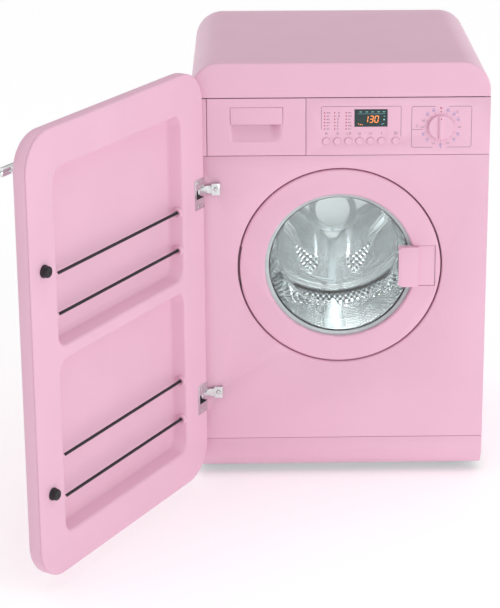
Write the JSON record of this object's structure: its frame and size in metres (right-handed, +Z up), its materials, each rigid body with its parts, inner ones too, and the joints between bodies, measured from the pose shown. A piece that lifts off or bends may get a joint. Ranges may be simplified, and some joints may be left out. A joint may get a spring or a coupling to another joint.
{
  "type": "front-loading washing machine",
  "caption": "Front-loading washing machine with rounded hood, porthole, detergent drawer, sprung drum and a full-height outer storage door.",
  "frame": {"origin": "on the floor under the middle of the cabinet's front face", "axes": "+Z up, +Y from the front face to the back panel, +X to the right seen from the front"},
  "size_m": [0.9208, 1.1047, 0.89],
  "materials": {
    "pink_enamel": "high gloss enamel",
    "pink_plastic": "glossy moulded plastic in the enamel colour",
    "zinc_steel": "galvanised sheet",
    "stainless": "polished stainless sheet",
    "bright_steel": "bright nickel plate",
    "chrome": "polished chrome",
    "aluminium": "die cast",
    "grey_plastic": "matt moulded plastic",
    "white_plastic": "matt moulded plastic",
    "blue_plastic": "matt moulded plastic",
    "black_plastic": "matt moulded plastic",
    "tub_plastic": "glass-filled moulded plastic",
    "lifter_plastic": "pale translucent moulded plastic",
    "rubber_grey": "soft moulded rubber",
    "rubber_black": "soft moulded rubber",
    "elastic_cord": "woven cover over elastic",
    "concrete": "cast concrete",
    "bowl_glass": "clear pressed glass",
    "display_dark": "smoked display window",
    "circuit": "circuit board"
  },
  "bodies": {
    "cabinet": {"base_pan": "zinc_steel", "feet": "rubber_black", "side_left": "pink_enamel", "side_right": "pink_enamel", "back_panel": "zinc_steel", "front_panel": "pink_enamel", "hood": "pink_enamel", "plinth": "pink_plastic", "front_rail": "zinc_steel", "fascia": "pink_plastic", "fascia_strip": "pink_plastic", "display_window": "display_dark", "control_board": "circuit", "drawer_housing": "white_plastic", "fill_valve": "white_plastic", "drain_pump": "black_plastic", "drain_hose": "rubber_grey", "mains_gland": "black_plastic", "door_lock": "black_plastic", "gasket": "rubber_grey", "damper_tubes": "black_plastic", "hinge_blocks": "bright_steel", "panel_screws": "bright_steel"},
    "outer_door": {"door_shell": "pink_plastic", "door_liner": "pink_plastic", "door_cords": "elastic_cord", "door_bumpers": "rubber_black", "door_handle": "chrome", "hinge_cups": "bright_steel"},
    "porthole": {"porthole_ring": "pink_plastic", "porthole_back": "grey_plastic", "glass_bowl": "bowl_glass", "porthole_irons": "bright_steel"},
    "porthole_pull": {"porthole_handle": "pink_plastic"},
    "drawer": {"drawer_tray": "white_plastic", "drawer_front": "pink_plastic", "siphon_cap": "blue_plastic"},
    "programme_knob": {"knob": "pink_plastic"},
    "tub": {"tub_front": "tub_plastic", "tub_rear": "tub_plastic", "weight_top": "concrete", "weight_front": "concrete", "heater": "stainless", "motor": "black_plastic", "damper_rods": "bright_steel", "tub_springs": "bright_steel", "belt": "rubber_black"},
    "drum": {"drum_shell": "stainless", "drum_back": "stainless", "lifters": "lifter_plastic", "drum_shaft": "aluminium", "drum_pulley": "aluminium"},
    "motor_rotor": {"motor_pulley": "bright_steel"},
    "push_1": {"button_1": "pink_plastic"},
    "push_2": {"button_2": "pink_plastic"},
    "push_3": {"button_3": "pink_plastic"},
    "push_4": {"button_4": "pink_plastic"},
    "push_5": {"button_5": "pink_plastic"},
    "push_6": {"button_6": "pink_plastic"},
    "push_7": {"button_7": "pink_plastic"}
  },
  "joints": [
    {"name": "outer_door_hinge", "type": "hinge", "parent": "cabinet", "child": "outer_door", "pos_m": [-0.284, -0.024, 0.4], "axis": [0, 0, -1], "range_deg": [-120, 0]},
    {"name": "porthole_hinge", "type": "hinge", "parent": "cabinet", "child": "porthole", "pos_m": [-0.188, 0.004, 0.467], "axis": [0, 0, -1], "range_deg": [0, 90]},
    {"name": "porthole_pull_hinge", "type": "hinge", "parent": "porthole", "child": "porthole_pull", "pos_m": [0.1865, 0.00375, 0.467], "axis": [0, 0, 1], "range_deg": [0, 12], "stiffness_Nm_per_rad": 0.6},
    {"name": "drawer_slide", "type": "slide", "parent": "cabinet", "child": "drawer", "axis": [0, -1, 0], "range_m": [0, 0.2]},
    {"name": "programme_turn", "type": "hinge", "parent": "cabinet", "child": "programme_knob", "pos_m": [0.199, 0, 0.759], "axis": [0, -1, 0], "continuous": true},
    {"name": "tub_bounce", "type": "slide", "parent": "cabinet", "child": "tub", "axis": [0, 0, 1], "range_m": [-0.006, 0.006], "stiffness_N_per_m": 30000, "deforming": ["tub_springs"]},
    {"name": "drum_spin", "type": "hinge", "parent": "tub", "child": "drum", "pos_m": [0, 0.25, 0.467], "axis": [0, -1, 0], "continuous": true},
    {"name": "rotor_spin", "type": "hinge", "parent": "tub", "child": "motor_rotor", "pos_m": [0, 0.4, 0.15], "axis": [0, -1, 0], "continuous": true},
    {"name": "push_1_slide", "type": "slide", "parent": "cabinet", "child": "push_1", "axis": [0, 1, 0], "range_m": [0, 0.0016], "stiffness_N_per_m": 400},
    {"name": "push_2_slide", "type": "slide", "parent": "cabinet", "child": "push_2", "axis": [0, 1, 0], "range_m": [0, 0.0016], "stiffness_N_per_m": 400},
    {"name": "push_3_slide", "type": "slide", "parent": "cabinet", "child": "push_3", "axis": [0, 1, 0], "range_m": [0, 0.0016], "stiffness_N_per_m": 400},
    {"name": "push_4_slide", "type": "slide", "parent": "cabinet", "child": "push_4", "axis": [0, 1, 0], "range_m": [0, 0.0016], "stiffness_N_per_m": 400},
    {"name": "push_5_slide", "type": "slide", "parent": "cabinet", "child": "push_5", "axis": [0, 1, 0], "range_m": [0, 0.0016], "stiffness_N_per_m": 400},
    {"name": "push_6_slide", "type": "slide", "parent": "cabinet", "child": "push_6", "axis": [0, 1, 0], "range_m": [0, 0.0016], "stiffness_N_per_m": 400},
    {"name": "push_7_slide", "type": "slide", "parent": "cabinet", "child": "push_7", "axis": [0, 1, 0], "range_m": [0, 0.0016], "stiffness_N_per_m": 400}
  ],
  "couplings": [
    {"joint": "rotor_spin", "follows": "drum_spin", "ratio": 14}
  ]
}
